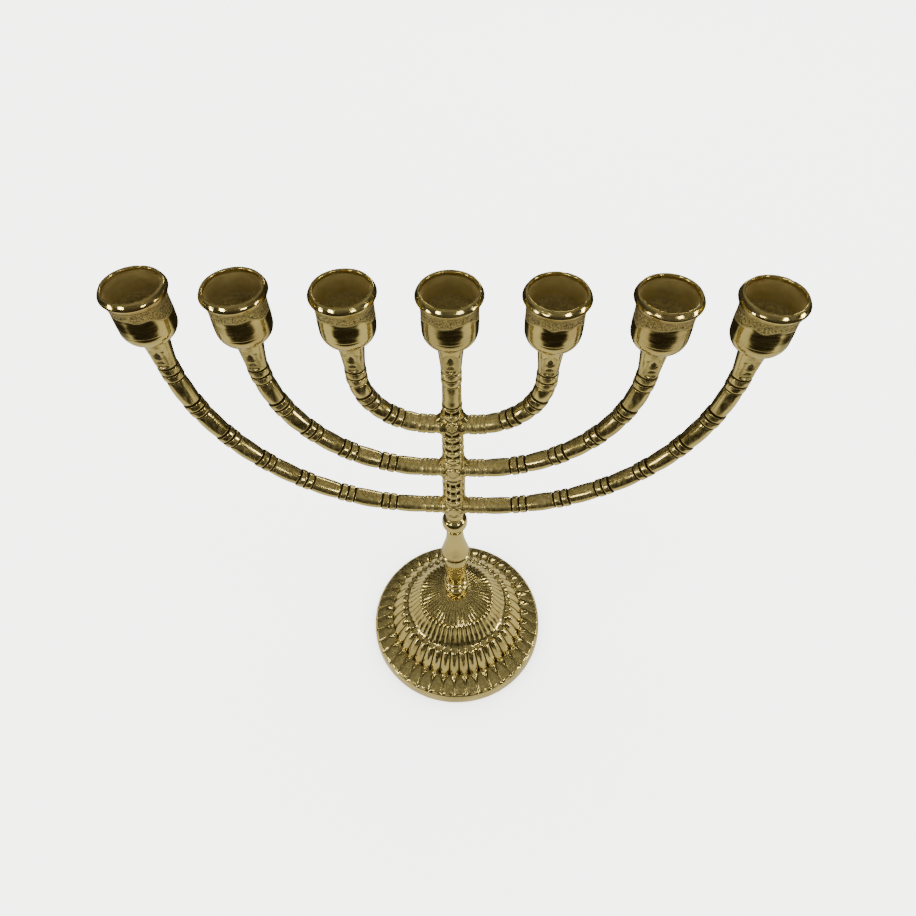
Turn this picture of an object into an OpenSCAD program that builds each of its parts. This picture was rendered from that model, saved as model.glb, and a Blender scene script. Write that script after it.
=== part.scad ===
// Seven-branched candelabrum in cast brass. Millimetres, +Z up, branches along X,
// origin on the table under the centre of the foot.

/* [Overall] */
// Height from the table to the rims of the cups
total_h = 305.5; // [300:0.5:312]
// Diameter of the foot where it stands on the table
foot_d = 120; // [116:1:126]

/* [Branches] */
// Distance from the column to the inner pair of cups
inner_reach = 43; // [41:0.5:46]
// Distance from the column to the middle pair of cups
middle_reach = 87; // [85:0.5:90]
// Distance from the column to the outer pair of cups
outer_reach = 128; // [126:0.5:132]
// Height at which the outer, lowest pair leaves the column
lowest_level = 154.3; // [153:0.1:156]
// Height from one pair of branches to the next
level_pitch = 34.9; // [34:0.1:36]
// Radius of a branch between its ring bands
branch_r = 4.6; // [4.2:0.1:4.8]
// Radius of the rings on a branch
ring_r = 5; // [4.9:0.1:5.2]

/* [Cups] */
// Radius of the candle hole
candle_r = 11.5; // [11:0.1:11.8]
// Depth of the straight wall of the candle hole
candle_depth = 14; // [12:0.5:15]
// Outer radius of the rolled rim
rim_r = 14.1; // [13.8:0.1:14.6]
// Outer radius of the bowl below the rim
bowl_r = 12.2; // [12.1:0.1:12.6]
// Height of a whole cup
cup_h = 27.5; // [27:0.5:29]

/* [Fastening] */
// Radius of the tie rod and of the threaded studs
stud_r = 3; // [2.8:0.1:3.2]
// Radial clearance of a part that turns on a stud
turn_gap = 0.05; // [0.03:0.01:0.09]

/* [Hidden] */
$fn = 96;

middle_level = lowest_level + level_pitch;
inner_level = lowest_level + 2 * level_pitch;
levels = [lowest_level, middle_level, inner_level];

// Bend radius of each pair
inner_bend = 33;
middle_bend = 75;
outer_bend = 112;

// Heights of the stack on the tie rod
dome_top = 52.5;
post_top = 101;
bell_top = 131.2;
knop_top = 149;
column_foot = knop_top + 0.1;
rod_top = 175;
rod_foot = 37;

// Heights of the neck under each cup
cup_foot = total_h - cup_h;
neck_top = cup_foot - 0.1;
neck_foot = 262;
stud_h = 6;

// Ring bands: two rings side by side, a dark groove on each side of them
ring_w = 3.4;
ring_step = 4.2;
band_drop = 4.4;
arm_start = 8;
first_band = 12.4;
spigot_r = 2.4;
spigot_l = 5;

brass = "#a48b4c";
cup_brass = "#ab9150";
steel = "#9a9ca0";

// Points of an arc, for outlines turned about the Z axis
function arc(centre, r, from, to, steps = 6) =
    [for (i = [0:steps]) let (a = from + (to - from) * i / steps)
        centre + r * [cos(a), sin(a)]];

module turned(outline) { rotate_extrude() polygon(outline); }

module ring(r, z, tube) { translate([0, 0, z]) rotate_extrude() translate([r, 0]) circle(tube, $fn = 32); }

module shaft_hole(r, z0, z1) { translate([0, 0, z0]) cylinder(r = r, h = z1 - z0); }

// --- foot ---

// Domed foot cast as a shell: plain rim, low petal row, steep petal row, fluted dome
module base() color(brass) {
    wall = 3.2;
    r = foot_d / 2;
    turned(concat(
        [[r - wall, 0], [r, 0], [r, 1.2], [r - 0.6, 9]],
        arc([r - 2.6, 8.6], 2, 20, 80),
        [[48.5, 14.4]],
        arc([47.2, 13.9], 1, 70, 160),
        [[45.4, 14.6], [36.6, 31]],
        arc([35.7, 30.9], 1, 20, 150),
        [[33.4, 32.2], [28.5, 39.5], [24.5, 45], [15, 49.6], [9, dome_top], [stud_r + 0.2, dome_top]],
        [[stud_r + 0.2, dome_top - 4], [10, dome_top - 4], [21.5, 42.6], [30.6, 30.2],
         [42, 12], [44, 10.6], [r - wall, 6.4]]));
}

// Turned post between the foot and the bell, with a rolled collar and a bead at its foot
module post() color(brass) {
    turned(concat(
        [[stud_r + 0.2, dome_top], [6.4, dome_top]],
        arc([5.4, dome_top + 2.8], 2.2, -60, 0),
        arc([5.4, dome_top + 7.6], 2.2, 0, 60),
        [[6.1, dome_top + 10.6]],
        arc([5.5, dome_top + 13.8], 2.2, -60, 60),
        [[6.5, dome_top + 16.8], [6.8, dome_top + 24], [7, post_top - 6], [5.4, post_top],
         [stud_r + 0.2, post_top]]));
}

// Trumpet bell, with a beaded edge below and a small ring above
module bell() color(brass) {
    turned(concat(
        [[5.5, post_top + 0.1], [7.9, post_top + 0.1]],
        arc([7.9, post_top + 1.4], 1.3, -90, 60),
        [[8.5, post_top + 4.2], [7.6, post_top + 8.2], [6.6, post_top + 12], [5.7, post_top + 16.5],
         [5.1, post_top + 22.5], [4.9, bell_top - 3]],
        arc([4.4, bell_top - 1.4], 0.9, -60, 60),
        [[4.4, bell_top], [stud_r + 0.2, bell_top], [stud_r + 0.2, post_top + 0.1]]));
}

// Ball knop with a short collar on which the column stands
module knop() color(brass) {
    turned(concat(
        [[stud_r + 0.2, bell_top], [4.9, bell_top]],
        arc([1.3, 137.4], 6.2, -58, 60, 12),
        [[4.9, 143.6], [5.2, 145], [5.2, knop_top], [stud_r + 0.2, knop_top]]));
}

// Rod that ties the foot, post, bell, knop and column together
module tie_rod() color(steel) {
    shaft_hole(stud_r, rod_foot, rod_top);
}

module washer() color(steel) difference() {
    shaft_hole(8.5, dome_top - 5.6, dome_top - 4);
    shaft_hole(stud_r + 0.2, dome_top - 6, dome_top);
}

module nut() color(steel) difference() {
    translate([0, 0, dome_top - 10.6]) cylinder(r = 5.8, h = 5, $fn = 6);
    shaft_hole(stud_r, dome_top - 12, dome_top);
}

// --- column and branches ---

// Neck that carries a cup: two rings, a flaring cone and the stud that the cup turns on
module neck() {
    for (side = [-1, 1])
        translate([0, 0, neck_foot - band_drop + side * ring_step / 2 - ring_w / 2])
            cylinder(r = ring_r, h = ring_w);
    translate([0, 0, neck_foot - 0.5]) cylinder(r1 = 4.85, r2 = 6.3, h = neck_top - neck_foot + 0.5);
    translate([0, 0, neck_top - 1]) cylinder(r = stud_r, h = stud_h + 1);
}

// Side boss that takes the spigot of a branch on each side of the column.
// It flares towards the column, as far as the foot of the column leaves room.
module branch_boss(z) {
    flare = min(6.6, z - column_foot);
    for (side = [-1, 1])
        translate([0, 0, z]) rotate([0, side * 90, 0]) cylinder(r1 = flare, r2 = ring_r, h = arm_start);
}

// Round flower boss on the front and the back
module flower_boss(z, r) {
    translate([0, 0, z]) rotate([90, 0, 0]) cylinder(r = 3, h = 2 * r + 1.6, center = true);
}

module column() color(brass) difference() {
    union() {
        turned([[0, column_foot], [5.4, column_foot], [6.1, column_foot + 1.5], [6.1, middle_level - 6],
                [5.6, middle_level + 6], [5.5, inner_level + 2], [4.7, inner_level + 11],
                [4.5, neck_foot - 9], [4.5, neck_foot], [0, neck_foot]]);
        neck();
        for (z = levels) branch_boss(z);
        for (i = [0:2]) flower_boss(levels[i] + 1.4 + 0.9 * i, 6 - 0.3 * i);
        for (i = [0:3]) ring(5.8, lowest_level + 9 + i * 6.65, 0.8);
        for (i = [0:4]) ring(5.5, middle_level + 11.5 + i * 5.6, 0.8);
        for (i = [0:1]) ring(4.8, inner_level + 8.9 + i * 5.8, 0.7);
    }
    shaft_hole(stud_r + turn_gap, column_foot - 1, rod_top + 1);
    for (z = levels, side = [-1, 1])
        translate([0, 0, z]) rotate([0, side * 90, 0])
            translate([0, 0, arm_start - spigot_l - 0.3]) cylinder(r = spigot_r, h = spigot_l + 1);
}

// Turn from the vertical at which a bend meets the foot of its neck
function bend_end(level, bend) =
    level + bend > neck_foot ? acos((level + bend - neck_foot) / bend) : 90;

// Place [x, z, slope] at a length along a branch, counted from the side of the column
function along(reach, level, bend, length) =
    let (flat = reach - bend - arm_start, turn = (length - flat) / bend * 180 / PI)
    length < flat ? [arm_start + length, level, 0]
    : turn < 90 ? [reach - bend + bend * sin(turn), level + bend * (1 - cos(turn)), turn]
    : [reach, level + length - flat - bend * PI / 2 + bend, 90];

// Length along a branch of the middle of the double ring at its neck
function neck_band(reach, level, bend) =
    let (flat = reach - bend - arm_start, up = neck_foot - band_drop - level)
    up < bend ? flat + bend * acos(1 - up / bend) * PI / 180 : flat + bend * PI / 2 + up - bend;

// One branch, drawn towards +X: spigot, straight start, bend, ring bands and neck
module branch(reach, level, bend, segments) {
    turn = bend_end(level, bend);
    first = first_band - arm_start;
    step = (neck_band(reach, level, bend) - first) / segments;
    translate([arm_start - spigot_l, 0, level]) rotate([0, 90, 0])
        cylinder(r = spigot_r, h = spigot_l + 1);
    translate([arm_start, 0, level]) rotate([0, 90, 0])
        cylinder(r = branch_r, h = reach - bend - arm_start);
    translate([reach - bend, 0, level + bend]) rotate([90, 0, 0])
        rotate([0, 0, -90]) rotate_extrude(angle = turn)
            translate([bend, 0]) circle(branch_r, $fn = 48);
    if (level + bend < neck_foot)
        translate([reach, 0, level + bend]) cylinder(r = branch_r, h = neck_foot - level - bend);
    for (i = [0:segments - 1], side = [-1, 1]) {
        at = along(reach, level, bend, first + i * step + side * ring_step / 2);
        translate([at[0], 0, at[1]]) rotate([0, 90 - at[2], 0])
            cylinder(r = ring_r, h = ring_w, center = true);
    }
    translate([reach, 0, 0]) neck();
}

module inner_branch() color(brass) branch(inner_reach, inner_level, inner_bend, 3);
module middle_branch() color(brass) branch(middle_reach, middle_level, middle_bend, 5);
module outer_branch() color(brass) branch(outer_reach, lowest_level, outer_bend, 7);

// --- cups ---

// Distance from the column to each cup, from left to right
cup_x = [-outer_reach, -middle_reach, -inner_reach, 0, inner_reach, middle_reach, outer_reach];

// Cup: rolled rim, cove, straight bowl and round bottom, with the socket for its stud
module cup(number) color(cup_brass) translate([cup_x[number - 1], 0, total_h])
    turned(concat(
        [[0, -candle_depth - 3.5], [6, -candle_depth - 2.6], [candle_r, -candle_depth],
         [candle_r, -0.6], [candle_r + 0.6, 0], [rim_r - 1.2, 0]],
        arc([rim_r - 1.5, -2], 1.5, 60, -60, 8),
        [[bowl_r + 0.3, -5.6], [bowl_r - 0.1, -8.5], [bowl_r, -cup_h + 8]],
        arc([bowl_r - 8, -cup_h + 8], 8, -10, -75, 8),
        [[5.6, -cup_h], [stud_r + turn_gap, -cup_h],
         [stud_r + turn_gap, -cup_h + stud_h + 0.3], [0, -cup_h + stud_h + 0.3]]));

base();
post();
bell();
knop();
tie_rod();
washer();
nut();
column();
mirror([1, 0, 0]) outer_branch();  // left_outer_branch
mirror([1, 0, 0]) middle_branch();  // left_middle_branch
mirror([1, 0, 0]) inner_branch();  // left_inner_branch
inner_branch();  // right_inner_branch
middle_branch();  // right_middle_branch
outer_branch();  // right_outer_branch
cup(1);  // cup_1
cup(2);  // cup_2
cup(3);  // cup_3
cup(4);  // cup_4
cup(5);  // cup_5
cup(6);  // cup_6
cup(7);  // cup_7
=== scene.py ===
# Seven-branched brass candelabrum: cast foot, turned stem, cast tree and turned cups.
# Shapes are worked out in millimetres, in the CAD part's own frame, and scaled to metres in one place.

import math

import bmesh
import bpy
import numpy as np
from mathutils import Matrix, Vector


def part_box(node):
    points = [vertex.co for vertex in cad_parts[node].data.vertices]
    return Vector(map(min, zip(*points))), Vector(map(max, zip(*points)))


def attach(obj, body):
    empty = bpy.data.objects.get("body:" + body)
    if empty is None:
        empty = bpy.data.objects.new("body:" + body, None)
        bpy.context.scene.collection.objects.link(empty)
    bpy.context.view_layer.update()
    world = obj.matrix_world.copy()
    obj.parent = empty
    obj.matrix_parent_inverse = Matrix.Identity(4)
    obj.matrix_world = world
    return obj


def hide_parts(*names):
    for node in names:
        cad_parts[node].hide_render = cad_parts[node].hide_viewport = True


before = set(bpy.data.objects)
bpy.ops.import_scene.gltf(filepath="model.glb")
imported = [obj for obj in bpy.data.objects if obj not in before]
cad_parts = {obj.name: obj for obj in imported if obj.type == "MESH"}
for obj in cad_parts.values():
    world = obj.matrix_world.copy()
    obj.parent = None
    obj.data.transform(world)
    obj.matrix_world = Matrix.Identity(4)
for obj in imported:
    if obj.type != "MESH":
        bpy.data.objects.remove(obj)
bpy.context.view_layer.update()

MM = 0.001
TAU = 2 * math.pi
FRONT = -math.pi / 2  # polar angle of the side that faces the viewer
BACK = math.pi / 2


# ---------------------------------------------------------------- sizes taken from the frame


def node_box(node):
    """Lowest and highest corner of a CAD node, in millimetres."""
    low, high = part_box(node)
    return [c / MM for c in low], [c / MM for c in high]


CUPS = [f"cup_{i}" for i in range(1, 8)]
RING_R = 5.0

foot_r = node_box("base")[1][0]
foot_top = node_box("base")[1][2]
post_top = node_box("post")[1][2]
bell_top = node_box("bell")[1][2]
knop_top = node_box("knop")[1][2]
column_foot = node_box("column")[0][2]
total_h = node_box("cup_4")[1][2]
cup_foot = node_box("cup_4")[0][2]
neck_top = cup_foot - 0.1
cup_x = {cup: (node_box(cup)[0][0] + node_box(cup)[1][0]) / 2 for cup in CUPS}

# Each pair of branches: name, cup on the right-hand side, bend radius, number of segments
PAIRS = [("outer", "cup_7", 112, 7), ("middle", "cup_6", 75, 5), ("inner", "cup_5", 33, 3)]
levels = {pair: node_box(f"right_{pair}_branch")[0][2] + RING_R for pair, _, _, _ in PAIRS}
LEVELS = [levels["outer"], levels["middle"], levels["inner"]]

NECK_FOOT = 262
BAND_Z = NECK_FOOT - 4.4  # middle of the double ring under each neck
RING_STEP = 4.2
RING_W = 3.4
FIRST_BAND = 12.4


# ---------------------------------------------------------------- small mathematics


def smooth(low, high, x):
    """0 below low, 1 above high, with a soft step between."""
    t = np.clip((np.asarray(x, float) - low) / (high - low), 0, 1)
    return t * t * (3 - 2 * t)


def bump(x, centre, width):
    """A soft bell of height 1."""
    return np.exp(-(((np.asarray(x, float) - centre) / width) ** 2))


def away(angle, centre):
    """Signed angle from centre, from -pi to pi."""
    return (np.asarray(angle) - centre + math.pi) % TAU - math.pi


def noise(seed, count, *coords):
    """Smooth repeatable unevenness in about -1..1: a few sines of the given coordinates."""
    random = np.random.default_rng(seed)
    total = 0.0
    for _ in range(count):
        phase = random.uniform(0, TAU)
        wave = phase
        for c in coords:
            wave = wave + np.asarray(c, float) * random.normal()
        total = total + np.sin(wave)
    return total / math.sqrt(count)


def arc(r, z, radius, start, end, steps=5):
    """Points [r, z] on an arc, angles in degrees from +r towards +z."""
    return [
        [r + radius * math.cos(a), z + radius * math.sin(a)]
        for a in np.radians(np.linspace(start, end, steps))
    ]


def resample(points, spacing):
    """The same outline with points at most spacing apart."""
    points = np.asarray(points, float)
    out = [points[:1]]
    for a, b in zip(points[:-1], points[1:]):
        n = max(1, int(math.ceil(np.hypot(*(b - a)) / spacing)))
        out.append(a + (b - a) * (np.arange(1, n + 1) / n)[:, None])
    return np.concatenate(out)


def rounded(points, spacing, passes=2):
    """Resampled outline whose corners are eased; its two ends stay."""
    line = resample(points, spacing)
    for _ in range(passes):
        line[1:-1] = (line[:-2] + 2 * line[1:-1] + line[2:]) / 4
    return line


def outline_normals(line, closed):
    """Unit normals [r, z] that point out of the solid, for an outline that runs up its outside."""
    if closed:
        along = np.roll(line, -1, 0) - np.roll(line, 1, 0)
    else:
        along = np.gradient(line, axis=0)
    along /= np.maximum(np.hypot(along[:, 0], along[:, 1]), 1e-9)[:, None]
    return np.stack([along[:, 1], -along[:, 0]], -1)


# ---------------------------------------------------------------- mesh helpers


def new_piece(name, points, faces, fields, material, body, nodes, slot):
    """Makes one piece from millimetre points, and says what it rides on and stands for."""
    mesh = bpy.data.meshes.new(name)
    mesh.from_pydata((np.asarray(points) * MM).tolist(), [], faces)
    edit = bmesh.new()
    edit.from_mesh(mesh)
    bmesh.ops.recalc_face_normals(edit, faces=edit.faces)
    edit.to_mesh(mesh)
    edit.free()
    for field in ("recess_shade", "matt"):
        values = np.clip(np.asarray(fields.get(field, np.zeros(len(points))), float), 0, 1)
        mesh.attributes.new(field, "FLOAT", "POINT").data.foreach_set("value", values)
    mesh.polygons.foreach_set("use_smooth", np.ones(len(mesh.polygons), bool))
    mesh.materials.append(material)
    piece = bpy.data.objects.new(name, mesh)
    bpy.context.scene.collection.objects.link(piece)
    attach(piece, body)
    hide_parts(*nodes)
    return piece


def grid_faces(rows, columns, closed):
    """Quads over a grid whose columns go all the way round. closed joins the last row to the first;
    otherwise a fan closes each end, round two extra points at the end of the list."""
    index = np.arange(rows * columns).reshape(rows, columns)
    after = np.roll(index, -1, 1)
    if closed:
        above, above_after = np.roll(index, -1, 0), np.roll(after, -1, 0)
    else:
        index, after, above, above_after = index[:-1], after[:-1], index[1:], after[1:]
    faces = np.stack([index, after, above_after, above], -1).reshape(-1, 4).tolist()
    if not closed:
        low, high = rows * columns, rows * columns + 1
        last = (rows - 1) * columns
        for i in range(columns):
            j = (i + 1) % columns
            faces.append([low, j, i])
            faces.append([high, last + i, last + j])
    return faces


def grid_piece(name, points, fields, closed, **says):
    """A piece from a (rows, columns, 3) grid of points."""
    rows, columns, _ = points.shape
    flat = points.reshape(-1, 3)
    flat_fields = {k: np.broadcast_to(v, (rows, columns)).reshape(-1) for k, v in fields.items()}
    if not closed:
        flat = np.concatenate([flat, [points[0].mean(0), points[-1].mean(0)]])
        flat_fields = {k: np.concatenate([v, [v[0], v[-1]]]) for k, v in flat_fields.items()}
    return new_piece(name, flat, grid_faces(rows, columns, closed), flat_fields, **says)


def lathe(name, line, columns, centre_x=0.0, relief=None, closed=True, **says):
    """A turned piece. relief(r, z, angle, index) gives the height that stands out of the outline
    along its normal, in millimetres, and the two surface fields."""
    line = np.asarray(line, float)
    normals = outline_normals(line, closed)
    angle = np.linspace(0, TAU, columns, endpoint=False)[None, :]
    r, z = line[:, :1], line[:, 1:]
    height, fields = (0.0, {}) if relief is None else relief(r, z, angle, np.arange(len(line))[:, None])
    radius = r + normals[:, :1] * height
    level = z + normals[:, 1:] * height + 0 * angle
    points = np.stack([centre_x + radius * np.cos(angle), radius * np.sin(angle), level], -1)
    return grid_piece(name, points, fields, closed, **says)


# ---------------------------------------------------------------- materials


class Nodes:
    """Short calls for building a node tree."""

    def __init__(self, tree):
        self.tree = tree

    def add(self, kind, **values):
        node = self.tree.nodes.new(kind)
        for key, value in values.items():
            setattr(node, key, value)
        return node

    def link(self, source, target):
        self.tree.links.new(source, target)

    def math(self, operation, a, b=0.5, clamp=False):
        node = self.add("ShaderNodeMath", operation=operation, use_clamp=clamp)
        for socket, value in zip(node.inputs, (a, b)):
            if isinstance(value, (int, float)):
                socket.default_value = value
            else:
                self.link(value, socket)
        return node.outputs[0]

    def mix(self, share, a, b):
        """Colour a where share is 0, b where it is 1."""
        node = self.add("ShaderNodeMix", data_type="RGBA")
        for socket, value in ((node.inputs[0], share), (node.inputs[6], a), (node.inputs[7], b)):
            if isinstance(value, (int, float)):
                socket.default_value = value
            elif isinstance(value, tuple):
                socket.default_value = (*value, 1)
            else:
                self.link(value, socket)
        return node.outputs[2]

    def noise(self, place, scale, detail=3.0, roughness=0.55, stretch=None):
        """Noise of about 0..1 with grains 1/scale metres across, stretched by a scale per axis."""
        if stretch is not None:
            mapping = self.add("ShaderNodeMapping")
            mapping.inputs["Scale"].default_value = stretch
            self.link(place, mapping.inputs["Vector"])
            place = mapping.outputs[0]
        node = self.add("ShaderNodeTexNoise")
        node.inputs["Scale"].default_value = scale
        node.inputs["Detail"].default_value = detail
        node.inputs["Roughness"].default_value = roughness
        self.link(place, node.inputs["Vector"])
        return node.outputs[0]

    def ramp(self, value, low, high, start=0.0, end=1.0):
        """Maps low..high to start..end, smoothly and without going past."""
        node = self.add("ShaderNodeMapRange", interpolation_type="SMOOTHSTEP")
        for socket, number in zip(list(node.inputs)[1:5], (low, high, start, end)):
            socket.default_value = number
        self.link(value, node.inputs[0])
        return node.outputs[0]

    def bump(self, height, distance, strength=1.0, under=None):
        node = self.add("ShaderNodeBump")
        node.inputs["Strength"].default_value = strength
        node.inputs["Distance"].default_value = distance
        self.link(height, node.inputs["Height"])
        if under is not None:
            self.link(under, node.inputs["Normal"])
        return node.outputs[0]

    def by_ray(self, seen, mirrored):
        """Shader seen for every ray except glossy ones, which get the shader mirrored."""
        choose = self.add("ShaderNodeMixShader")
        self.link(self.add("ShaderNodeLightPath").outputs["Is Glossy Ray"], choose.inputs[0])
        self.link(seen.outputs[0], choose.inputs[1])
        self.link(mirrored.outputs[0], choose.inputs[2])
        return choose.outputs[0]


def metal(name, clean, tarnish, pit_and_shade, rough, scratch_stretch, wave=0.1, grain=0.12, blush=0.0):
    """Polished metal, darkened by painted shade and dull in its recesses, and sandy where it was left as
    cast.
    clean, tarnish and pit_and_shade are colours (sand pits and painted shade); rough is the roughness of the
    polished surface;
    wave and grain are the depths of the hand-polished waves and of the casting grain, in mm;
    blush is the strength of faint warm-brown clouds in the colour."""
    material = bpy.data.materials.new(name)
    material.use_nodes = True
    n = Nodes(material.node_tree)
    shader = material.node_tree.nodes["Principled BSDF"]
    place = n.add("ShaderNodeTexCoord").outputs["Object"]
    recess_shade = n.add("ShaderNodeAttribute", attribute_name="recess_shade").outputs["Fac"]
    matt = n.add("ShaderNodeAttribute", attribute_name="matt").outputs["Fac"]

    cloud = n.noise(place, 55, 4)
    freckle = n.noise(place, 900, 2)
    sand = n.noise(place, 2600, 3, 0.7)
    hollows = n.noise(place, 2000, 2, 0.5)
    scratches = n.noise(place, 700, 2, 0.6, scratch_stretch)
    ripple = n.noise(place, 210, 2, 0.45)

    tint = n.ramp(cloud, 0.42, 0.68)
    colour = n.mix(n.math("MULTIPLY", tint, 0.55), clean, tarnish)
    if blush:
        red = n.ramp(n.noise(place, 34, 2, 0.4), 0.52, 0.68, 0.0, blush)
        colour = n.mix(red, colour, BLUSH)
    sandy = n.ramp(matt, 0.5, 0.9)
    pits = n.math("MULTIPLY", n.ramp(hollows, 0.53, 0.4), sandy)
    colour = n.mix(n.math("MULTIPLY", matt, 0.35), colour, tarnish)
    colour = n.mix(n.math("MULTIPLY", pits, 0.85), colour, pit_and_shade)
    # painted shade: the recess_shade field, broken up a little by freckle noise, darkens the colour towards
    # pit_and_shade and roughens it
    painted_shade = n.math("ADD", recess_shade, n.math("MULTIPLY", n.math("SUBTRACT", freckle, 0.5), 0.3))
    painted_shade = n.ramp(painted_shade, 0.12, 0.9)
    colour = n.mix(painted_shade, colour, pit_and_shade)
    n.link(colour, shader.inputs["Base Color"])

    polish = n.ramp(scratches, 0.35, 0.75, rough, rough + 0.14)
    polish = n.math("ADD", polish, n.math("MULTIPLY", tint, 0.05))
    dulled = n.math("SUBTRACT", n.math("MULTIPLY", matt, 0.6), n.math("MULTIPLY", sandy, 0.38))
    polish = n.math("ADD", polish, dulled)
    polish = n.math("ADD", polish, n.math("MULTIPLY", painted_shade, 0.3), clamp=True)
    n.link(polish, shader.inputs["Roughness"])
    shader.inputs["Metallic"].default_value = 1.0

    waves = n.bump(ripple, wave * MM)
    drawn = n.math("MULTIPLY", scratches, n.ramp(matt, 0.12, 0.28, 1.0, 0.0))
    lines = n.bump(drawn, 0.004 * MM, 0.8, waves)
    grains = n.math("MULTIPLY", n.math("ADD", sand, hollows), sandy)
    n.link(n.bump(grains, grain * MM, 1.0, lines), shader.inputs["Normal"])
    return material


CLEAN = (0.68, 0.56, 0.225)
OLIVE = (0.38, 0.305, 0.125)
# DARK is the colour of the sand pits and of the painted shade in recesses
DARK = (0.022, 0.015, 0.005)
BLUSH = (0.45, 0.24, 0.1)
STEEL = (0.5, 0.5, 0.51)
STEEL_DULL = (0.3, 0.29, 0.28)
STEEL_DARK = (0.08, 0.07, 0.06)

cast_brass = metal("cast_brass", CLEAN, OLIVE, DARK, 0.09, (1.0, 1.0, 0.25), wave=0.08)
turned_brass = metal("turned_brass", CLEAN, OLIVE, DARK, 0.07, (0.2, 0.2, 4.0), wave=0.04)
cup_brass = metal("cup_brass", CLEAN, OLIVE, DARK, 0.07, (0.15, 0.15, 3.0), wave=0.05, grain=0.35, blush=0.22)
steel = metal("brushed_steel", STEEL, STEEL_DULL, STEEL_DARK, 0.28, (0.2, 0.2, 4.0), wave=0.02)


# ---------------------------------------------------------------- foot

PETALS = 42
FLUTES = 54
FOOT_COLUMNS = 756  # a multiple of both counts, so that every petal and flute is alike


def foot_relief(r, z, angle, index):
    """Petal rows and flutes of the foot. Only the outer skin, above the rim, is worked."""
    outside = (index < foot_outside) * 1.0
    place = angle * PETALS / TAU
    u = (place + 0.5) % 1 - 0.5  # across a petal of the low row, -0.5..0.5
    v = place % 1 - 0.5  # the steep row is staggered by half a petal

    # low row: pointed arches that rise up the foot, each with a raised outline
    up = np.clip((58.7 - r) / (58.7 - 45.8), 0, 1)
    half = 0.455 * (1 - np.clip((up - 0.3) / 0.7, 0, 1) ** 2.0) + 1e-3
    x = np.abs(u) / half
    low_zone = smooth(59.0, 58.2, r) * smooth(45.2, 46.0, r) * smooth(0.0, 0.1, up)
    crown = np.where(x < 1, 0.9 * (1 - x**2.6) * (0.5 + 0.5 * np.sqrt(np.clip(half / 0.455, 0, 1))), 0)
    low = (crown + 0.26 * bump(x, 0.86, 0.09) - 0.7 * smooth(0.98, 1.14, x)) * low_zone

    # steep row: gadroons whose lower tips reach down between the arches
    climb = np.clip((51.5 - r) / (51.5 - 34.3), 0, 1)
    top = np.sqrt(np.clip(1 - np.clip((climb - 0.8) / 0.24, 0, 1) ** 2, 0, 1))
    wide = 0.455 * smooth(0.0, 0.5, climb) ** 0.8 * (0.55 + 0.45 * top) + 1e-3
    y = np.abs(v) / wide
    steep_zone = smooth(51.5, 49.5, r) * smooth(34.2, 36.6, r)
    lobe = np.where(y < 1, 1.5 * (1 - y**2.0) * (0.25 + 0.75 * smooth(0.0, 0.45, climb)), 0)
    steep = (lobe + 0.2 * bump(y, 0.88, 0.08) - 0.5 * smooth(1.0, 1.15, y)) * steep_zone
    between = smooth(1.0, 1.15, x)
    rows = np.where(r > 45.8, low * (1 - between) + np.maximum(low, steep) * between, steep)

    # dome: rounded flutes with sharp valleys, finer towards the top
    w = np.abs((angle * FLUTES / TAU + 0.5) % 1 - 0.5) * 2
    deep = smooth(34.0, 30.5, r) * (0.2 + 0.5 * smooth(7.5, 26.0, r))
    flute = deep * (1 - w**1.8 - 0.5) + 0.3 * bump(r, 24.4, 2.2) * (1 - w**2)
    flute *= smooth(8.2, 9.6, r)

    handmade = 0.07 * noise(3, 8, angle * 9, r * 0.4)
    height = outside * smooth(59.4, 58.6, r) * smooth(6.0, 8.0, z) * (rows + flute + handmade)

    # painted shade in the grooves round the arches and gadroons, inside the lower arches, and in the flute
    # valleys
    groove = np.maximum(bump(x, 1.1, 0.17), smooth(1.02, 1.12, x) * smooth(0.5, 0.2, up))
    tips = smooth(0.55, 0.95, y)  # the grooves stay clear of the lower tips of the steep row
    low_shade = low_zone * np.maximum(groove * tips, 0.3 * smooth(0.8, 0.5, x)) * smooth(0.02, 0.15, up)
    steep_shade = np.maximum(bump(y, 1.08, 0.15), smooth(1.0, 1.1, y)) * steep_zone * smooth(47.5, 45.5, r)
    flute_shade = 0.8 * smooth(0.68, 1.0, w) * smooth(34.0, 33.0, r) * smooth(8.5, 12, r)
    recess_shade = outside * np.maximum.reduce([low_shade + 0 * r, steep_shade + 0 * r, flute_shade])
    matt = (1 - outside) * 0.9 + 0 * angle
    return height, {"recess_shade": recess_shade, "matt": matt}


outer_line = rounded(
    [[foot_r - 1.2, 0], [foot_r - 0.3, 0.15], [foot_r, 1.0], [foot_r - 0.25, 5], [foot_r - 0.6, 8.4]]
    + arc(foot_r - 2.0, 8.5, 1.35, 10, 70, 4)
    + [[56.5, 10.7], [53, 12.6], [49.5, 13.8], [46.4, 14.3], [45.5, 15.3], [44.4, 18.2], [42.4, 22.2],
       [39.8, 26.2], [37.4, 29.0], [35.6, 30.8], [34.4, 31.6], [33.3, 32.6], [28.9, 38.6], [26.2, 42.8],
       [24.4, 44.8], [22.0, 46.4], [18.5, 48.2], [14, 50.0], [9.2, foot_top - 0.4],
       [7.4, foot_top - 0.1], [3.4, foot_top - 0.1]],
    0.75, 3)
inner_line = rounded(
    [[3.4, foot_top - 4], [10, foot_top - 4.2], [21.5, 42.4], [30.6, 30], [42, 11.6], [44, 10.2],
     [foot_r - 4, 6.2], [foot_r - 3.4, 0.4], [foot_r - 2.6, 0]],
    3.0, 2)
foot_outside = len(outer_line)
lathe("cast_foot", np.concatenate([outer_line, inner_line]), FOOT_COLUMNS, relief=foot_relief,
      material=cast_brass, body="foot", nodes=["base"], slot="cast_brass")


# ---------------------------------------------------------------- post, bell and knop


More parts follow.
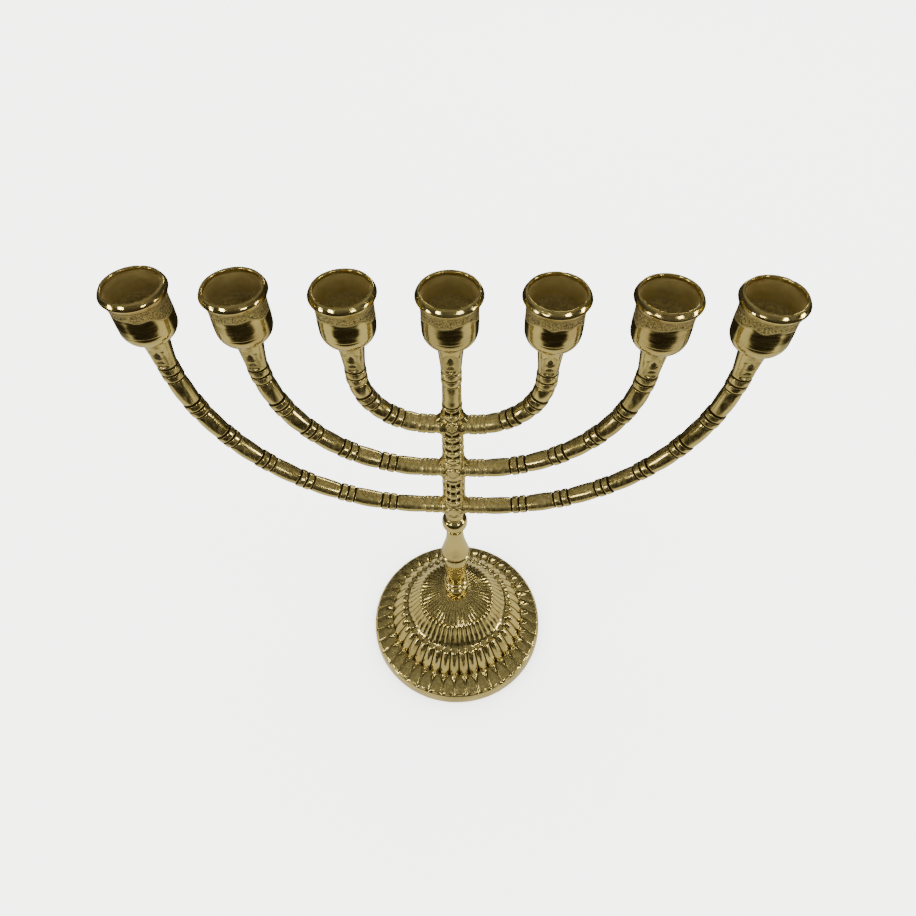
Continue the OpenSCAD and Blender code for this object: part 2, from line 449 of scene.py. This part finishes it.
def turning_marks(seed, depth=0.02):
    """Relief of a lathe-turned piece: very slight waviness."""

    def relief(r, z, angle, index):
        height = depth * noise(seed, 6, np.cos(angle) * 2, z * 0.6) + 0 * r
        return height, {"recess_shade": 0 * r + 0 * angle, "matt": 0 * r + 0 * angle}

    return relief


post_line = rounded(
    [[3.3, foot_top], [6.6, foot_top]] + arc(5.5, foot_top + 2.9, 2.25, -55, 0, 5)
    + arc(5.5, foot_top + 7.5, 2.25, 0, 62, 5) + [[6.0, foot_top + 10.2], [6.0, foot_top + 10.9]]
    + arc(5.5, foot_top + 13.8, 2.25, -62, 65, 9)
    + [[6.4, foot_top + 16.6], [6.7, foot_top + 24], [6.95, post_top - 8],
       [6.6, post_top - 2.5], [5.6, post_top], [3.3, post_top]],
    0.45, 2)
lathe("turned_post", post_line, 72, relief=turning_marks(5),
      material=turned_brass, body="foot", nodes=["post"], slot="turned_brass")

bell_line = rounded(
    [[3.3, post_top + 0.1], [7.6, post_top + 0.1]] + arc(7.9, post_top + 1.4, 1.3, -80, 75, 8)
    + [[8.2, post_top + 3.2], [8.5, post_top + 3.9], [8.3, post_top + 5.2],
       [7.5, post_top + 8.2], [6.6, post_top + 12], [5.7, post_top + 16.5], [5.15, post_top + 22],
       [4.95, bell_top - 3.1]]
    + arc(4.35, bell_top - 1.5, 1.05, -70, 70, 6) + [[4.4, bell_top - 0.4], [4.3, bell_top], [3.3, bell_top]],
    0.5, 2)
lathe("turned_bell", bell_line, 72, relief=turning_marks(6),
      material=turned_brass, body="foot", nodes=["bell"], slot="turned_brass")

knop_mid = (bell_top + 143.6) / 2
knop_line = rounded(
    [[3.3, bell_top], [4.7, bell_top], [4.9, bell_top + 0.8]] + arc(2.2, knop_mid - 0.9, 5.2, -54, -5, 7)
    + arc(2.2, knop_mid + 0.9, 5.2, 5, 58, 7)
    + [[4.75, knop_top - 5.4], [5.2, knop_top - 4.2], [5.2, knop_top - 0.4]]
    + [[4.9, knop_top], [3.3, knop_top]],
    0.5, 2)
lathe("turned_knop", knop_line, 72, relief=turning_marks(7),
      material=turned_brass, body="foot", nodes=["knop"], slot="turned_brass")


# ---------------------------------------------------------------- tie rod, washer and nut

ROD_PITCH = 1.0
rod_low, rod_high = node_box("tie_rod")[0][2], node_box("tie_rod")[1][2]


def thread(r, z, angle, index):
    """Screw thread on the two ends of the rod."""
    ends = smooth(rod_low + 16, rod_low + 14, z) + smooth(rod_high - 16, rod_high - 14, z)
    turn = np.abs((z / ROD_PITCH - angle / TAU) % 1 - 0.5) * 2
    worked = ends * smooth(2.2, 2.6, r)
    # painted shade in the thread grooves
    return -0.5 * turn * worked, {"recess_shade": 0.6 * turn * worked, "matt": 0.2 + 0 * turn}


rod_line = np.concatenate([
    [[0.6, rod_low], [2.4, rod_low]],
    resample([[2.9, rod_low + 0.5], [2.95, rod_low + 16]], 0.25),
    resample([[2.95, rod_low + 20], [2.95, rod_high - 20]], 20),
    resample([[2.95, rod_high - 16], [2.9, rod_high - 0.5]], 0.25),
    [[2.4, rod_high], [0.6, rod_high]]])
lathe("tie_rod_steel", rod_line, 32, relief=thread, closed=False,
      material=steel, body="foot", nodes=["tie_rod"], slot="steel_hardware")

washer_low, washer_high = node_box("washer")[0], node_box("washer")[1]
lathe("plain_washer",
      rounded([[3.25, washer_low[2] + 0.1], [8.2, washer_low[2]], [8.5, washer_low[2] + 0.3],
               [8.5, washer_high[2] - 0.2], [8.3, washer_high[2]], [3.25, washer_high[2]]], 0.5, 1),
      72, relief=turning_marks(8), material=steel, body="foot", nodes=["washer"], slot="steel_hardware")

nut_low, nut_high = node_box("nut")[0][2], node_box("nut")[1][2]
NUT_R = 5.8


def hexagon(r, z, angle, index):
    """Cuts the six flats of the nut and keeps its round chamfers."""
    flat = NUT_R * math.cos(math.pi / 6) / np.cos((angle + math.pi / 6) % (math.pi / 3) - math.pi / 6)
    rim = (r > 4.8) * 1.0
    cut = np.minimum(flat - r, 0) * rim
    return cut, {"recess_shade": 0 * cut, "matt": 0.2 + 0 * cut}


nut_mid = (nut_low + nut_high) / 2
nut_line = np.array([
    [3.02, nut_low + 0.3], [3.4, nut_low], [4.7, nut_low], [5.2, nut_low + 0.05],
    [NUT_R, nut_low + 0.5], [NUT_R, nut_low + 1.0], [NUT_R, nut_mid],
    [NUT_R, nut_high - 1.0], [NUT_R, nut_high - 0.5],
    [5.2, nut_high - 0.05], [4.7, nut_high], [3.02, nut_high]])
lathe("hex_nut", nut_line, 96, relief=hexagon,
      material=steel, body="foot", nodes=["nut"], slot="steel_hardware")


# ---------------------------------------------------------------- rings, necks and branches


def banding(along, bands, barrel_end, barrel_mid, ring):
    """Radius and painted groove shade along a branch or the column: two rings and three grooves at each band,
    and a smooth barrel from one band to the next."""
    bands = np.sort(np.asarray(bands, float))
    along = np.asarray(along, float)
    distance = np.abs(along[..., None] - bands)
    near = distance.min(-1)
    after = np.searchsorted(bands, along)
    gap_low = bands[np.clip(after - 1, 0, len(bands) - 1)]
    gap_high = bands[np.clip(after, 0, len(bands) - 1)]
    half_gap = np.maximum((gap_high - gap_low) / 2, 9)
    edge = RING_STEP + 0.5
    t = np.clip((near - edge) / (half_gap - edge), 0, 1)
    radius = barrel_end + (barrel_mid - barrel_end) * np.sin(t * math.pi / 2) ** 0.8
    crown = np.abs(near - RING_STEP / 2) / (RING_W / 2)
    radius = np.where(near < RING_STEP, ring - 0.12 * crown**4, radius)
    gap = np.minimum(near, np.abs(near - RING_STEP))
    return radius - 0.5 * smooth(0.6, 0.2, gap), smooth(0.8, 0.4, gap)


def panel(angle, z, r):
    """Relief and painted shade of the flat panels at the front and back of a neck: two upright edges,
    an arched top, and below it a plain sunk leaf over a short bar; shade is painted in the leaf, the bar and
    along the edges."""
    height, painted_shade = 0.0, 0.0
    for side in (FRONT, BACK):
        u = away(angle, side) * r
        facing = (np.abs(away(angle, side)) < 1.3) * 1.0
        arch = NECK_FOOT + 12.6 - 0.16 * u**2
        foot = NECK_FOOT + 0.6 + 0.35 * np.abs(u)
        inside = smooth(3.7, 3.3, np.abs(u)) * smooth(foot, foot + 0.5, z) * smooth(arch + 0.3, arch - 0.2, z)
        sink = r * (1 - np.cos(away(angle, side))) - 0.75
        leaf_half = 1.7 * np.clip(1 - ((z - NECK_FOOT - 8.3) / 2.4) ** 2, 0, 1)
        leaf = smooth(leaf_half + 0.1, leaf_half - 0.3, np.abs(u)) * (leaf_half > 0)
        bar = smooth(1.7, 1.4, np.abs(u)) * bump(z, NECK_FOOT + 4.3, 0.5)
        mark = np.clip(leaf + bar, 0, 1) * inside
        height = height + facing * inside * (np.minimum(sink, 0.25) - 0.35 * mark)
        rim = bump(np.abs(u), 3.75, 0.4) * smooth(foot - 0.6, foot, z) * smooth(arch + 0.6, arch, z)
        height = height + facing * 0.2 * rim
        upright = smooth(foot + 0.2, foot + 0.9, z) * smooth(arch - 0.1, arch - 0.8, z)
        edge = inside * (1 - smooth(3.45, 3.0, np.abs(u)) * upright)
        painted_shade = painted_shade + facing * np.clip(0.75 * mark + 0.7 * edge, 0, 1)
    return height, painted_shade


def neck_radius(z):
    """The cone that widens under a cup."""
    t = np.clip((z - NECK_FOOT) / (neck_top - NECK_FOOT), 0, 1)
    return 4.75 + 1.5 * t**1.3


def spaced(length, fine_spots, fine, coarse, reach=6.2):
    """Places along a length: close together within reach of the fine spots, further apart elsewhere."""
    places, at = [0.0], 0.0
    while at < length - 1e-6:
        near = min((abs(at - s) for s in fine_spots), default=99)
        at = min(length, at + (fine if near < reach else coarse))
        places.append(at)
    return np.array(places)


def branch(pair, side, reach, level, bend, segments, seed):
    """One branch: a straight start inside the column, a quarter bend, ring bands, and the neck."""
    start = 4.5
    flat = reach - bend - start
    quarter = bend * math.pi / 2
    rise = neck_top - level - bend
    tall = rise > 0
    if tall:
        length = flat + quarter + rise
    else:
        length = flat + bend * math.acos((level + bend - neck_top) / bend)
    drop = BAND_Z - level
    if drop < bend:
        last = flat + bend * math.acos(1 - drop / bend)
    else:
        last = flat + quarter + drop - bend
    first = FIRST_BAND - start
    bands = first + (last - first) * np.arange(segments + 1) / segments
    neck_start = length - (neck_top - NECK_FOOT)
    s = spaced(length, [*bands, neck_start + 4, neck_start + 10, length], 0.3, 1.3)
    turn = np.clip((s - flat) / bend, 0, math.pi / 2)
    x = start + np.minimum(s, flat) + bend * np.sin(turn)
    z = level + bend * (1 - np.cos(turn)) + np.maximum(s - flat - quarter, 0)

    columns = 56
    angle = np.linspace(0, TAU, columns, endpoint=False)[None, :]
    radius, groove = banding(s, bands, 4.5, 4.88, RING_R)
    near_column = smooth(14.5, 11.5, s)
    beads = 0.1 * np.cos(s * TAU / 2.2) * smooth(1.5, 4.5, s)
    radius = radius * (1 - 0.6 * near_column) + 0.6 * near_column * (4.75 + beads)
    groove = groove * (1 - 0.5 * smooth(26, 14, s)) * (1 - 0.4 * near_column)
    in_neck = smooth(NECK_FOOT - 1.0, NECK_FOOT + 0.4, z)
    radius = radius * (1 - in_neck) + neck_radius(z) * in_neck
    radius = radius[:, None] + 0.07 * noise(seed, 7, np.cos(angle) * 1.2, s[:, None] * 0.11)
    relief, painted_shade = panel(angle, z[:, None], radius)
    worked = smooth(NECK_FOOT - 0.2, NECK_FOOT + 0.4, z)[:, None]
    radius = radius + relief * worked
    # the section turns with the bend; angle 0 is its outer side and FRONT faces the viewer
    out = np.stack([np.sin(turn), -np.cos(turn)], -1)
    across = radius * np.cos(angle)
    points = np.stack([
        side * (x[:, None] + across * out[:, :1]),
        radius * np.sin(angle) * 0.985,
        z[:, None] + across * out[:, 1:]], -1)
    dull_and_shaded = smooth(30, 8, s)[:, None]  # the ends beside the column are hard to reach with a polishing wheel, so they are rougher; painted shade also darkens them
    # painted shade in the ring grooves, beside the column and in the neck panels
    recess_shade = np.maximum(0.95 * groove[:, None] + 0.14 * dull_and_shaded + 0 * angle, painted_shade * worked)
    matt = 0.08 + 0.1 * dull_and_shaded
    name = f"{'left' if side < 0 else 'right'}_{pair}_branch"
    return grid_piece(f"{name}_cast", points, {"recess_shade": recess_shade, "matt": matt + 0 * recess_shade}, False,
                      material=cast_brass, body="tree", nodes=[name], slot="cast_brass")


seed = 20
for pair, cup, bend, segments in PAIRS:
    for side in (-1, 1):
        branch(pair, side, cup_x[cup], levels[pair], bend, segments, seed)
        seed += 1


# ---------------------------------------------------------------- column

COLUMN_COLUMNS = 112


def rosette(u, w, wide, tall):
    """Height and outline of a small lobed rosette at (0, 0)."""
    distance = np.hypot(u / wide, w / tall)
    lobes = 1 + 0.08 * np.cos(8 * np.arctan2(w / tall, u / wide))
    inside = smooth(lobes, lobes - 0.16, distance)
    height = inside * (0.6 + 0.12 * np.cos(8 * np.arctan2(w / tall, u / wide)) * smooth(0.3, 0.7, distance))
    outline = smooth(lobes - 0.03, lobes + 0.06, distance) * smooth(lobes + 0.3, lobes + 0.12, distance)
    return height, outline


def socket_reach(rise, across):
    """How far a branch's socket fills the corner beside the column, 0..1: all of the branch's round
    end, a hollow web that climbs above it, and a short one below."""
    web = np.where(rise > 4.4, np.clip((11.5 - rise) / 7.1, 0, 1) ** 2, 1.0)
    web = np.where(rise < -4.4, np.clip((7.4 + rise) / 3.0, 0, 1) ** 2, web)
    wide = np.maximum(np.sqrt(np.clip(4.7**2 - rise**2, 0, None)), 2.6)
    return web * smooth(wide + 0.5, wide - 1.1, np.abs(across))


def build_column():
    """The column: crescents and rosettes at the front and back, sockets with webs at the sides,
    a plain barrel above, and the neck of the middle cup."""
    low, middle, top = LEVELS
    barrel = top + 15.8
    z = np.concatenate([
        [column_foot], column_foot + np.array([0.2, 0.5, 0.9]),
        np.arange(column_foot + 1.2, neck_top - 0.4, 0.34), [neck_top - 0.15, neck_top]])
    angle = np.linspace(0, TAU, COLUMN_COLUMNS, endpoint=False)[None, :]
    profile = [(column_foot, 5.2), (column_foot + 0.5, 5.8), (column_foot + 2, 6.1), (middle - 10, 6.2),
               (middle + 8, 5.7), (top - 4, 5.3), (top + 10, 4.9), (barrel + 4, 4.6)]
    radius = np.interp(z, *zip(*profile))
    upper = smooth(barrel + 4, barrel + 6, z)
    banded, groove = banding(z, [BAND_Z], 4.4, 4.6, 4.85)
    radius = radius * (1 - upper) + banded * upper
    in_neck = smooth(NECK_FOOT - 1.0, NECK_FOOT + 0.4, z)
    radius = (radius * (1 - in_neck) + neck_radius(z) * in_neck)[:, None] + 0 * angle
    # painted shade in the band grooves under the neck, and below in the groove at the top of the barrel
    recess_shade = 0.8 * (groove * upper)[:, None] + 0 * angle
    z = z[:, None]
    line = bump(z, barrel, 0.5)
    recess_shade = np.maximum(recess_shade, 0.9 * line)
    height = 0.05 * noise(11, 8, np.cos(angle), z * 0.2) - 0.35 * line

    # crescents, thick in the middle, over hollows darkened with painted shade, that thin upright ridges cross
    # each group: level below it, first and last crescent above that, how many, where the ridge runs
    groups = [(low, 9.0, 28.9, 4, 1.6), (middle, 11.5, 33.8, 5, 0.0), (top, 8.9, 14.7, 2, 0.0)]
    for side in (FRONT, BACK):
        u = away(angle, side) * radius
        facing = (np.abs(away(angle, side)) < math.pi / 2 - 0.01) * 1.0
        strip = smooth(4.8, 4.0, np.abs(u)) * facing
        ends = np.clip(np.abs(u) / 4.6, 0, 1) ** 2
        thick = 1.95 - 1.35 * ends
        for level, first, last, count, ridge_at in groups:
            bottom, end = level + first, level + last
            zone = smooth(bottom - 3.4, bottom - 2.4, z) * smooth(end + 1.6, end + 0.7, z)
            crescent, scallop = 0.0, 0.0
            for at in np.linspace(bottom, end, count):
                crescent = np.maximum(crescent, smooth(0.25, 0.75, bump(z, at + 0.9 * ends, thick)))
                scallop = np.maximum(scallop, bump(z, at, 1.9))
            ridge = bump(np.abs(u - 0.3 * np.sin(z * 1.7)), ridge_at, 0.34)
            worked = np.maximum(crescent, 0.6 * ridge)
            height = height + zone * strip * (1.1 * worked - 0.65)
            height = height + zone * (facing - strip) * (0.5 * scallop - 0.35)
            recess_shade = np.maximum(recess_shade, 0.9 * zone * strip * smooth(0.5, 0.15, worked))
        for i, level in enumerate(LEVELS):
            rose, outline = rosette(u, z - level - 1.0 - 1.1 * i, 4.4 - 0.7 * i, 3.5)
            height = height * (1 - facing * (rose > 0)) + facing * rose
            # painted shade in the outline of each rosette
            recess_shade = np.maximum(recess_shade * (1 - facing * (rose > 0)), 0.9 * outline * facing)

    for side in (0.0, math.pi):
        turn = away(angle, side)
        across = 6.0 * np.sin(turn)
        facing = (np.abs(turn) < math.pi / 2) * 1.0
        for level in LEVELS:
            reach = socket_reach(z - level, across) * facing
            height = np.maximum(height, height * (1 - reach) + reach * (8.0 - radius))
            recess_shade = recess_shade * (1 - reach)

    relief, painted_shade = panel(angle, z, radius)
    worked = smooth(NECK_FOOT - 0.2, NECK_FOOT + 0.4, z)
    radius = radius + height * (1 - worked) + relief * worked
    # painted shade of the neck panels
    recess_shade = np.maximum(recess_shade * (1 - worked), painted_shade * worked)
    points = np.stack([radius * np.cos(angle), radius * np.sin(angle), z + 0 * angle], -1)
    return grid_piece("column_cast", points, {"recess_shade": recess_shade, "matt": 0.12 + 0 * recess_shade}, False,
                      material=cast_brass, body="tree", nodes=["column"], slot="cast_brass")


build_column()


# ---------------------------------------------------------------- cups

CANDLE_R = 11.5
RIM_R = 14.1
BOWL_R = 12.2
CUP_COLUMNS = 112


def cup_line():
    """Outline of a cup from the middle of its floor, over the rim, and down to the stud socket."""
    top = total_h
    inside = [[0.8, top - 17.3], [5, top - 17.0], [9.4, top - 15.6], [11.0, top - 14.2], [11.4, top - 12.4],
              [CANDLE_R, top - 6], [CANDLE_R + 0.1, top - 1.2]]
    lip = [[CANDLE_R + 0.2, top - 0.35], [11.95, top - 0.02], [12.5, top], [12.95, top - 0.2],
           [13.25, top - 0.75]]
    edge = [[13.7, top - 1.5], [RIM_R - 0.1, top - 2.2], [RIM_R, top - 2.65], [RIM_R - 0.15, top - 3.1]]
    cove = [[13.45, top - 3.9], [12.95, top - 4.5], [12.85, top - 5.0], [12.95, top - 5.5],
            [12.75, top - 6.1], [12.3, top - 6.9]]
    bowl = [[BOWL_R, top - 12], [BOWL_R + 0.05, top - 16], [BOWL_R - 0.05, top - 19.2]]
    bottom = arc(4.1, top - 19.5, 8.05, 4, -72, 12)
    socket = [[6.2, cup_foot], [3.5, cup_foot], [3.1, cup_foot + 0.4], [3.1, cup_foot + 6],
              [0.8, cup_foot + 6.3]]
    outside = [inside[-1], *lip, *edge, *cove, *bowl, *bottom]
    return rounded(inside, 1.0, 1), rounded(outside, 0.4, 1), np.array(socket)


def cup(number, seed):
    """A cup: sandy cast inside and band under the rim, polished rim and lower bowl."""
    inner, outer, socket = cup_line()
    line = np.concatenate([inner, outer[1:], socket])
    inner_count, outer_count = len(inner), len(inner) + len(outer) - 1
    random = np.random.default_rng(seed)
    nicks = [(random.uniform(0, TAU), random.uniform(0.05, 0.08), random.uniform(0.1, 0.22))
             for _ in range(9 if number == 7 else 3)]

    def relief(r, z, angle, index):
        depth = total_h - z
        within = (index < inner_count) * 1.0
        without = (index >= inner_count) * (index < outer_count) * 1.0
        ripple = noise(seed, 7, np.cos(angle) * 4, np.sin(angle) * 4, z * 0.1)
        height = 0.035 * ripple * (without + within)
        dents = 0.0
        for at, width, deep in nicks:
            dents = dents + deep * bump(away(angle, at), 0, width) * bump(depth, 0.2, 1.0)
        height = height - dents * (within + without)
        edge = 9.4 + 0.7 * noise(seed + 50, 6, np.cos(angle) * 4, np.sin(angle) * 4)
        sideways = smooth(0.6, 1.3, np.abs(away(angle, FRONT))) * smooth(0.6, 1.3, np.abs(away(angle, BACK)))
        edge = edge + 3.0 * sideways
        band = smooth(4.6, 5.8, depth) * smooth(edge + 1.2, edge - 0.6, depth) * without
        height = height - 0.07 * band
        matt = np.clip(0.4 * within * smooth(0.9, 2.0, depth) + 0.95 * band, 0, 1)
        # painted shade: darker towards the floor inside the cup, and a dark line in the pinch of the cove
        # under the rim
        shade = within * (0.08 * smooth(1.0, 3.0, depth) + 0.42 * smooth(9.0, 14.0, depth))
        pinch_shade = 0.7 * bump(depth, 5.0, 0.35) * without
        # this outline runs down the outside, so its normals point into the metal
        return -height, {"recess_shade": np.clip(shade + pinch_shade + 0 * angle, 0, 1), "matt": matt + 0 * angle}

    return lathe(f"cup_{number}_turned", line, CUP_COLUMNS, cup_x[f"cup_{number}"], relief, False,
                 material=cup_brass, body=f"cup_body_{number}", nodes=[f"cup_{number}"], slot="cup_brass")


for number in range(1, 8):
    cup(number, 70 + number)


# ---------------------------------------------------------------- floor, light and camera

WARM = (1, 0.94, 0.66)
PALE = (1, 0.995, 0.985, 1)
# what only the metal's reflections see: a painted pool of light and painted dark on the floor, and the dim
# room
PAINTED_DARK_AROUND = (0.022, 0.018, 0.011)
PAINTED_POOL_LIGHT = (0.88, 0.84, 0.64)
ROOM_LOW = (0.035, 0.03, 0.02)
ROOM_HIGH = (0.2, 0.19, 0.145)


def stage_floor():
    """Plain pale table. To the eye it is even; in the metal's reflections it shows a painted pool of light
    under the object, on painted dark around it."""
    mesh = bpy.data.meshes.new("floor")
    far = 6.0
    mesh.from_pydata([(-far, -far, 0), (far, -far, 0), (far, far, 0), (-far, far, 0)], [], [(0, 1, 2, 3)])
    floor = bpy.data.objects.new("floor", mesh)
    bpy.context.scene.collection.objects.link(floor)
    material = bpy.data.materials.new("paper")
    material.use_nodes = True
    n = Nodes(material.node_tree)
    material.node_tree.nodes.clear()
    split = n.add("ShaderNodeSeparateXYZ")
    n.link(n.add("ShaderNodeTexCoord").outputs["Object"], split.inputs[0])
    wide = n.ramp(n.math("ABSOLUTE", split.outputs["X"], 0.0), 0.42, 0.52, 1.0, 0.0)
    front_edge = n.ramp(split.outputs["Y"], -0.25, -0.18)
    back_edge = n.ramp(split.outputs["Y"], 0.1, 0.2, 1.0, 0.0)
    lit = n.math("MULTIPLY", wide, n.math("MULTIPLY", front_edge, back_edge))
    paper = n.add("ShaderNodeBsdfDiffuse")
    paper.inputs["Color"].default_value = (0.86, 0.86, 0.855, 1)
    glow = n.add("ShaderNodeEmission")
    glow.inputs["Color"].default_value = PALE
    glow.inputs["Strength"].default_value = 0.75
    pale = n.add("ShaderNodeAddShader")
    n.link(paper.outputs[0], pale.inputs[0])
    n.link(glow.outputs[0], pale.inputs[1])
    mirrored = n.add("ShaderNodeEmission")
    # painted reflection: for glossy rays the floor glows with the painted pool of light on painted dark
    n.link(n.mix(lit, PAINTED_DARK_AROUND, PAINTED_POOL_LIGHT), mirrored.inputs["Color"])
    n.link(n.by_ray(pale, mirrored), n.add("ShaderNodeOutputMaterial").inputs["Surface"])
    mesh.materials.append(material)


def room():
    """Pale to the eye; in reflections a dim studio that is a little lighter overhead."""
    world = bpy.data.worlds.new("room")
    bpy.context.scene.world = world
    world.use_nodes = True
    n = Nodes(world.node_tree)
    world.node_tree.nodes.clear()
    place = n.add("ShaderNodeTexCoord").outputs["Generated"]
    split = n.add("ShaderNodeSeparateXYZ")
    n.link(place, split.inputs[0])
    high = n.ramp(split.outputs["Z"], 0.1, 0.8)
    colour = n.mix(high, ROOM_LOW, ROOM_HIGH)
    pale = n.add("ShaderNodeBackground")
    pale.inputs["Color"].default_value = PALE
    pale.inputs["Strength"].default_value = 5.1
    mirrored = n.add("ShaderNodeBackground")
    n.link(colour, mirrored.inputs["Color"])
    n.link(n.by_ray(pale, mirrored), n.add("ShaderNodeOutputWorld").inputs["Surface"])


def soft_box(name, place, target, size, power, tint):
    """A rectangular area light at place that faces target, itself unseen by the camera."""
    light = bpy.data.lights.new(name, "AREA")
    light.shape = "RECTANGLE"
    light.size, light.size_y = size
    light.energy = power
    light.color = tint
    lamp = bpy.data.objects.new(name, light)
    lamp.visible_camera = False
    bpy.context.scene.collection.objects.link(lamp)
    back = np.array(place, float) - np.array(target, float)
    lamp.location = place
    lamp.rotation_mode = "QUATERNION"
    lamp.rotation_quaternion = Vector(back).to_track_quat("Z", "Y")


def photo_camera():
    """Looks down on the object from in front, slightly to its right."""
    place = (0.01299, -0.22175, 0.48172)
    yaw, pitch, roll = math.radians(-2.711), math.radians(52.03), math.radians(0.837)
    cy, sy, cp, sp = math.cos(yaw), math.sin(yaw), math.cos(pitch), math.sin(pitch)
    ahead = np.array([sy * cp, cy * cp, -sp])
    level = np.array([cy, -sy, 0])
    down = np.cross(ahead, level)
    right = math.cos(roll) * level + math.sin(roll) * down
    lower = -math.sin(roll) * level + math.cos(roll) * down
    camera = bpy.data.objects.new("camera", bpy.data.cameras.new("camera"))
    camera.data.sensor_width = 36
    camera.data.lens = 27.39
    camera.data.clip_start = 0.01
    turned = Matrix(np.stack([right, -lower, -ahead], -1).tolist()).to_4x4()
    camera.matrix_world = Matrix.Translation(place) @ turned
    bpy.context.scene.collection.objects.link(camera)
    bpy.context.scene.camera = camera


stage_floor()
room()
soft_box("right_lamp", (2.1, -0.28, 0.36), (0, 0, 0.06), (0.45, 0.45), 13, WARM)
soft_box("left_lamp", (-1.9, -0.95, 0.4), (0, 0, 0.06), (0.4, 0.4), 9, WARM)
soft_box("front_left_lamp", (-0.55, -0.85, 0.6), (0, 0, 0.05), (0.26, 0.08), 1.6, WARM)
soft_box("front_right_lamp", (0.6, -0.85, 0.6), (0, 0, 0.05), (0.26, 0.08), 1.6, WARM)
soft_box("back_lamp", (0.3, 1.2, 0.6), (0, 0, 0.2), (0.6, 0.08), 2.0, WARM)
photo_camera()
